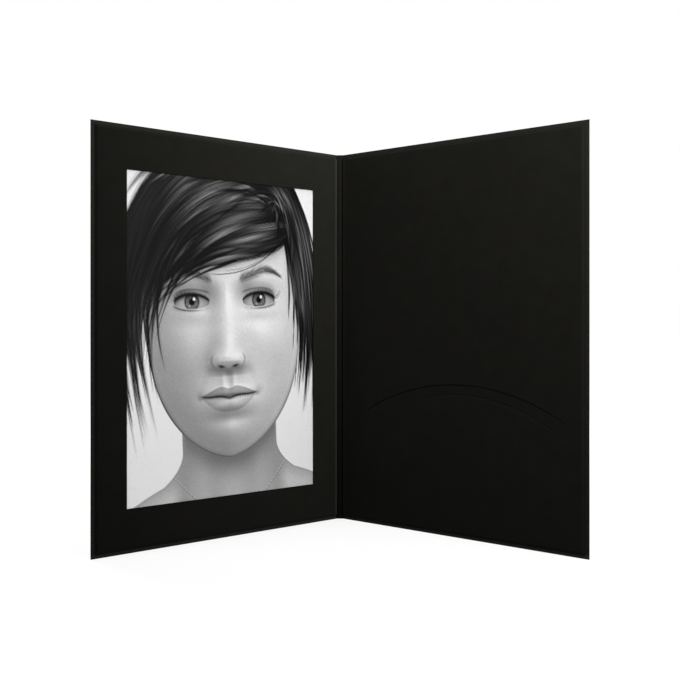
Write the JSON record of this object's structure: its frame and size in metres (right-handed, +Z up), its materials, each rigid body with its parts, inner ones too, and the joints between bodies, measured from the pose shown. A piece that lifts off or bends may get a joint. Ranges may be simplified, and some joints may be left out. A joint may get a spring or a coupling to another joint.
{
  "type": "photo folder",
  "caption": "Card photo folder that opens like a book, with a portrait print behind a window mat on one leaf and an arc-slit pocket for a disc on the other.",
  "frame": {"origin": "on the surface that the folder stands on, at the middle of its footprint when the leaves stand open", "axes": "+Z up along the creases, +X to the right for someone who looks into the open folder, +Y from the open side towards the spine"},
  "size_m": [0.245, 0.1106, 0.216],
  "materials": {
    "cover_card": "matte black card",
    "inner_card": "matte black card",
    "print_paper": "semi-gloss monochrome photographic print",
    "tape_film": "thin double-sided tape"
  },
  "bodies": {
    "back": {"back_cover": "cover_card", "pocket_panel": "inner_card", "pocket_tape": "tape_film"},
    "spine": {"spine_strip": "cover_card"},
    "front": {"front_cover": "cover_card", "window_mat": "inner_card", "photo_print": "print_paper", "mat_tape": "tape_film"}
  },
  "joints": [
    {"name": "back_cover_hinge", "type": "hinge", "parent": "back", "child": "spine", "pos_m": [0.0021, 0.05502, 0.108], "axis": [0, 0, 1], "range_deg": [-42.5, 47.5]},
    {"name": "front_cover_hinge", "type": "hinge", "parent": "spine", "child": "front", "pos_m": [-0.0021, 0.05502, 0.108], "axis": [0, 0, 1], "range_deg": [-42.5, 47.5]}
  ]
}
